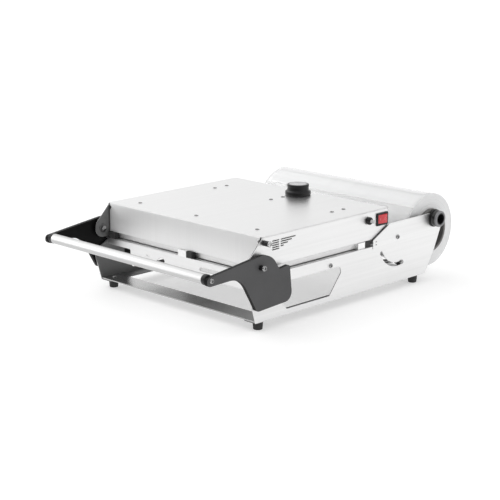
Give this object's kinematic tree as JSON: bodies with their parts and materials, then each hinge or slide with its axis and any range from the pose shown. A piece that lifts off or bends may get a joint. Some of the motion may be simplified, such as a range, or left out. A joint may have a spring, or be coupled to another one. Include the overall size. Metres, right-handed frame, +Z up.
{
  "type": "tray sealing machine",
  "caption": "Tray sealing machine: hinged heated head over a tray deck, pull-down handle bar on profiled arms, film roll on a rear spindle.",
  "frame": {"origin": "on the table top, at the middle of the bounding box's width and depth", "axes": "+X to the right seen from the front, +Y from the handle to the film roll, +Z up"},
  "size_m": [0.4736, 0.7166, 0.1943],
  "materials": {
    "stainless": "brushed stainless steel sheet",
    "bright_steel": "turned or plated steel",
    "spring_steel": "drawn spring wire",
    "anthracite": "matt anthracite powder coat",
    "satin_aluminium": "satin anodised",
    "milled_aluminium": "milled",
    "black_plastic": "moulded black",
    "grey_plastic": "moulded grey",
    "knob_grey": "satin grey disc",
    "nylon": "natural nylon",
    "rubber": "black rubber",
    "silicone": "red-brown silicone",
    "blanket": "mineral wool",
    "heater_tube": "heat-tinted tube",
    "red_plastic": "red rocker",
    "clear_plastic": "clear lens",
    "film": "translucent sealing film",
    "core_board": "grey core tube"
  },
  "bodies": {
    "base": {"side_plate_left": "stainless", "side_plate_right": "stainless", "front_cross_strip": "stainless", "rear_cross_strip": "stainless", "rubber_feet": "rubber", "foot_screws": "bright_steel", "deck_plate": "stainless", "tray_frame": "milled_aluminium", "seal_gasket": "silicone", "stop_blocks": "bright_steel", "buffer_pads": "rubber", "hinge_rod": "bright_steel", "hinge_screws": "bright_steel", "hinge_spacers": "nylon", "spring_anchors": "bright_steel", "counter_springs": "spring_steel", "spindle_bearings": "black_plastic", "film_web": "film"},
    "head": {"head_side_left": "stainless", "head_side_right": "stainless", "top_cover": "stainless", "rear_panel": "stainless", "inner_pan": "stainless", "heating_plate": "milled_aluminium", "heating_elements": "heater_tube", "insulation_blanket": "blanket", "knife_frame": "bright_steel", "hanger_studs": "bright_steel", "hinge_levers": "bright_steel", "hinge_bushes": "nylon", "spring_pins": "bright_steel", "ear_pivot_pins": "bright_steel", "ear_washers": "bright_steel", "ear_sleeves": "black_plastic", "arm_stop_sleeves": "black_plastic", "arm_stop_screws": "bright_steel", "thermostat_body": "grey_plastic", "switch_frame": "black_plastic", "lamp_collar": "black_plastic", "lamp_lens": "clear_plastic", "cable_gland": "black_plastic"},
    "handle": {"handle_arm_left": "anthracite", "handle_arm_right": "anthracite", "handle_bar": "satin_aluminium", "bar_end_bushes": "black_plastic", "bar_bolts": "bright_steel"},
    "knob": {"thermostat_shaft": "bright_steel", "thermostat_knob": "black_plastic", "knob_disc": "knob_grey"},
    "rocker": {"switch_rocker": "red_plastic"},
    "guide": {"film_guide_tube": "satin_aluminium"},
    "spindle": {"spindle_tube": "satin_aluminium", "spindle_collars": "grey_plastic"},
    "roll": {"film_core": "core_board", "film_roll": "film"}
  },
  "joints": [
    {"name": "head_hinge", "type": "hinge", "parent": "base", "child": "head", "pos_m": [0, 0.1683, 0.1081], "axis": [-1, 0, 0], "range_deg": [0, 75], "deforming": ["counter_springs"]},
    {"name": "handle_swing", "type": "hinge", "parent": "head", "child": "handle", "pos_m": [0, -0.228, 0.1223], "axis": [-1, 0, 0], "range_deg": [0, 90]},
    {"name": "thermostat_turn", "type": "hinge", "parent": "head", "child": "knob", "pos_m": [0.0065, 0.1045, 0.18], "axis": [0, 0, -1], "range_deg": [0, 270]},
    {"name": "rocker_tilt", "type": "hinge", "parent": "head", "child": "rocker", "pos_m": [0.2095, 0.123, 0.1514], "axis": [0, 0, 1], "range_deg": [0, 16]},
    {"name": "guide_turn", "type": "hinge", "parent": "base", "child": "guide", "pos_m": [0, 0.1683, 0.1081], "axis": [1, 0, 0], "continuous": true},
    {"name": "spindle_turn", "type": "hinge", "parent": "base", "child": "spindle", "pos_m": [0, 0.28375, 0.1276], "axis": [1, 0, 0], "continuous": true},
    {"name": "roll_turn", "type": "hinge", "parent": "base", "child": "roll", "pos_m": [0, 0.28375, 0.1009], "axis": [1, 0, 0], "continuous": true}
  ]
}
